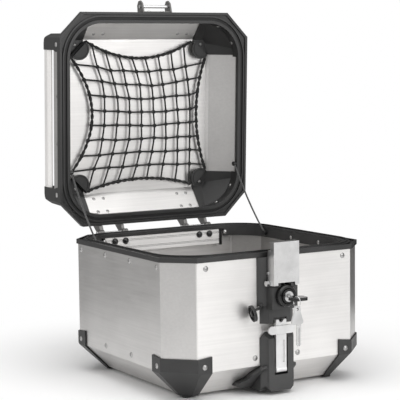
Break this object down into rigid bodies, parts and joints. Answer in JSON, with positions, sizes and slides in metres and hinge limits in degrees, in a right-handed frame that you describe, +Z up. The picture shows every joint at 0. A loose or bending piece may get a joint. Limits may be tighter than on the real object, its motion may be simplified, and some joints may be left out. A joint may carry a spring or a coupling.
{
  "type": "motorcycle top case",
  "caption": "Bevelled aluminium motorcycle top case with a hinged lid, corner guards, front pull latch, key lock and a stretch net inside the lid.",
  "frame": {"origin": "middle of the case footprint, on the plane that the feet and the carrier plate rest on", "axes": "+Z up, +Y from the lock towards the hinges, +X to the right of someone facing the lock"},
  "size_m": [0.4338, 0.6087, 0.7186],
  "materials": {
    "brushed_aluminium": "satin anodised, fine brushed grain",
    "anodised_side": "satin anodised",
    "extrusion": "satin anodised extrusion",
    "rim_plastic": "fine textured black",
    "corner_plastic": "fine textured black",
    "liner_plastic": "smooth dark grey",
    "housing_plastic": "fine textured black",
    "black_gloss": "semi-gloss black",
    "grey_steel": "raw zinc plated",
    "bright_steel": "polished",
    "latch_steel": "fine brushed stainless",
    "cast_lever": "silver painted casting",
    "seal_rubber": "matt",
    "net_elastic": "woven elastic cord",
    "cord": "braided cord",
    "tag_plastic": "pale grey"
  },
  "bodies": {
    "case": {"body_wrap": "brushed_aluminium", "side_panel_left": "anodised_side", "side_panel_right": "anodised_side", "base_rim": "rim_plastic", "foot_front_left": "corner_plastic", "foot_front_right": "corner_plastic", "foot_rear_left": "corner_plastic", "foot_rear_right": "corner_plastic", "foot_screws": "bright_steel", "body_rivets": "bright_steel", "rear_bar": "extrusion", "rear_bar_ends": "black_gloss", "hinge_bolt_caps": "black_gloss", "base_hinge_left": "grey_steel", "base_hinge_right": "grey_steel", "hinge_pin_left": "bright_steel", "hinge_pin_right": "bright_steel", "carrier_plate": "corner_plastic", "upper_lock_housing": "housing_plastic", "lower_lock_housing": "housing_plastic", "lock_bezel": "black_gloss", "lock_ring": "black_gloss", "latch_pivot": "bright_steel", "release_pin": "bright_steel", "base_stay_clips": "black_gloss", "stay_left": "cord", "stay_right": "cord"},
    "lid": {"lid_hinge_left": "grey_steel", "lid_hinge_right": "grey_steel", "lid_stay_clips": "black_gloss", "lid_wrap": "brushed_aluminium", "lid_side_left": "anodised_side", "lid_side_right": "anodised_side", "lid_rim": "rim_plastic", "lid_seal": "seal_rubber", "lid_cap_front_left": "corner_plastic", "lid_cap_front_right": "corner_plastic", "lid_cap_rear_left": "corner_plastic", "lid_cap_rear_right": "corner_plastic", "lid_liner_front_left": "liner_plastic", "lid_liner_front_right": "liner_plastic", "lid_liner_rear_left": "liner_plastic", "lid_liner_rear_right": "liner_plastic", "lid_rivets": "bright_steel", "rail_left": "extrusion", "rail_right": "extrusion", "cap_screws": "bright_steel", "net_hooks": "corner_plastic", "cargo_net": "net_elastic", "striker_bracket": "grey_steel", "striker_bar": "bright_steel"},
    "latch": {"latch_plate": "latch_steel"},
    "lock_plug": {"lock_cylinder": "bright_steel"},
    "key": {"key_blade": "bright_steel", "key_bow": "black_gloss"},
    "ring": {"key_ring": "bright_steel"},
    "spare": {"spare_key": "bright_steel", "spare_key_bow": "tag_plastic"},
    "release": {"release_lever": "cast_lever"},
    "cap": {"dust_cap": "seal_rubber"}
  },
  "joints": [
    {"name": "lid_hinge", "type": "hinge", "parent": "case", "child": "lid", "pos_m": [0, 0.2273, 0.2558], "axis": [1, 0, 0], "range_deg": [0, 87.8], "deforming": ["stay_left", "stay_right"]},
    {"name": "latch_pivot_joint", "type": "hinge", "parent": "case", "child": "latch", "pos_m": [0, -0.2249, 0.2034], "axis": [1, 0, 0], "range_deg": [-3, 10]},
    {"name": "release_joint", "type": "hinge", "parent": "case", "child": "release", "pos_m": [0, -0.2194, 0.0454], "axis": [1, 0, 0], "range_deg": [0, 28], "stiffness_Nm_per_rad": 0.08, "springref_deg": -22.92},
    {"name": "lock_turn", "type": "hinge", "parent": "case", "child": "lock_plug", "pos_m": [0, -0.2449, 0.1809], "axis": [0, 1, 0], "range_deg": [-90, 0]},
    {"name": "key_slide", "type": "slide", "parent": "lock_plug", "child": "key", "axis": [0, -1, 0], "range_m": [0, 0.036]},
    {"name": "ring_swing", "type": "hinge", "parent": "key", "child": "ring", "pos_m": [-0.01, -0.278, 0.1809], "axis": [0, 1, 0], "range_deg": [-12, 12]},
    {"name": "spare_swing", "type": "hinge", "parent": "ring", "child": "spare", "pos_m": [-0.01, -0.28752, 0.16476], "axis": [0, 1, 0], "range_deg": [-50, 50]},
    {"name": "cap_swing", "type": "hinge", "parent": "case", "child": "cap", "pos_m": [-0.037, -0.2135, 0.1584], "axis": [0, 0, 1], "range_deg": [0, 35], "stiffness_Nm_per_rad": 0.003}
  ]
}
